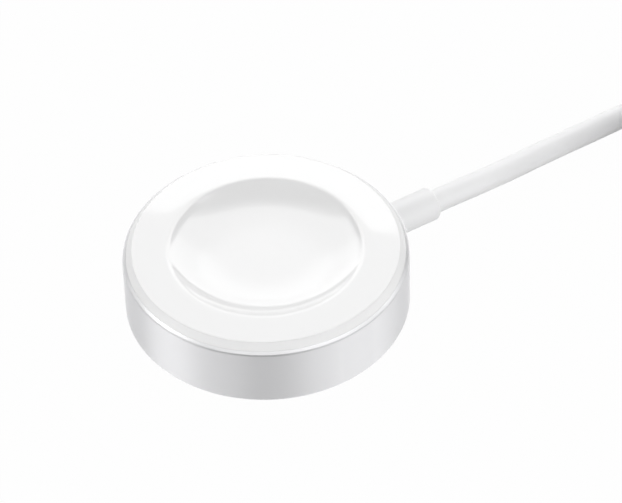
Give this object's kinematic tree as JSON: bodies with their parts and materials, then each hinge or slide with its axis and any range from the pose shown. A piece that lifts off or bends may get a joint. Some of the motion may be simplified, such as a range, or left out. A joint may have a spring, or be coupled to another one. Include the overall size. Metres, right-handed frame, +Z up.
{
  "type": "smartwatch charging puck",
  "caption": "Flat round magnetic charger for a smartwatch: aluminium cup, glossy white cover with a shallow dish, strain relief and a white cable, wound up, with a plug.",
  "frame": {"origin": "middle of the puck's flat underside, on the surface it stands on", "axes": "+Z up through the dish, +X along the strain relief, the way the cable leaves"},
  "size_m": [0.0982, 0.0456, 0.0111],
  "materials": {
    "aluminium": "fine satin blasting, with a thin polished chamfer at the rim",
    "white_gloss": "glossy white moulding",
    "white_soft": "smooth soft white jacket, half matte",
    "adhesive": "matte",
    "steel": "bright",
    "nickel": "plated",
    "copper": "enamelled wire",
    "ferrite": "matte",
    "board": "solder mask",
    "pad": "matte",
    "chip": "moulded",
    "component_ceramic": "matte",
    "strap": "fine woven",
    "red_insulation": "smooth",
    "green_insulation": "smooth",
    "pale_insulation": "smooth",
    "black_insulation": "smooth"
  },
  "bodies": {
    "root": {"housing": "aluminium", "cover": "white_gloss", "cover_adhesive": "adhesive", "magnet_yoke": "steel", "magnet": "nickel", "thermal_pad": "pad", "circuit_board": "board", "controller_chip": "chip", "bridge_driver_1": "chip", "bridge_driver_2": "chip", "regulator_chip": "chip", "crystal": "steel", "temperature_sensor": "component_ceramic", "inductor": "ferrite", "resonance_capacitor_1": "component_ceramic", "resonance_capacitor_2": "component_ceramic", "resonance_capacitor_3": "component_ceramic", "resonance_capacitor_4": "component_ceramic", "input_capacitor_1": "component_ceramic", "input_capacitor_2": "component_ceramic", "ferrite_plate": "ferrite", "charging_coil": "copper", "strain_relief": "white_soft", "cable_crimp": "steel", "power_wire": "red_insulation", "data_wire_1": "green_insulation", "data_wire_2": "pale_insulation", "ground_wire": "black_insulation", "cord": "white_soft", "cord_coil": "white_soft", "coil_tie": "strap", "cord_end": "white_soft", "plug_boot": "white_soft", "plug_body": "white_gloss", "plug_shell": "steel", "plug_insert": "chip"}
  },
  "joints": []
}
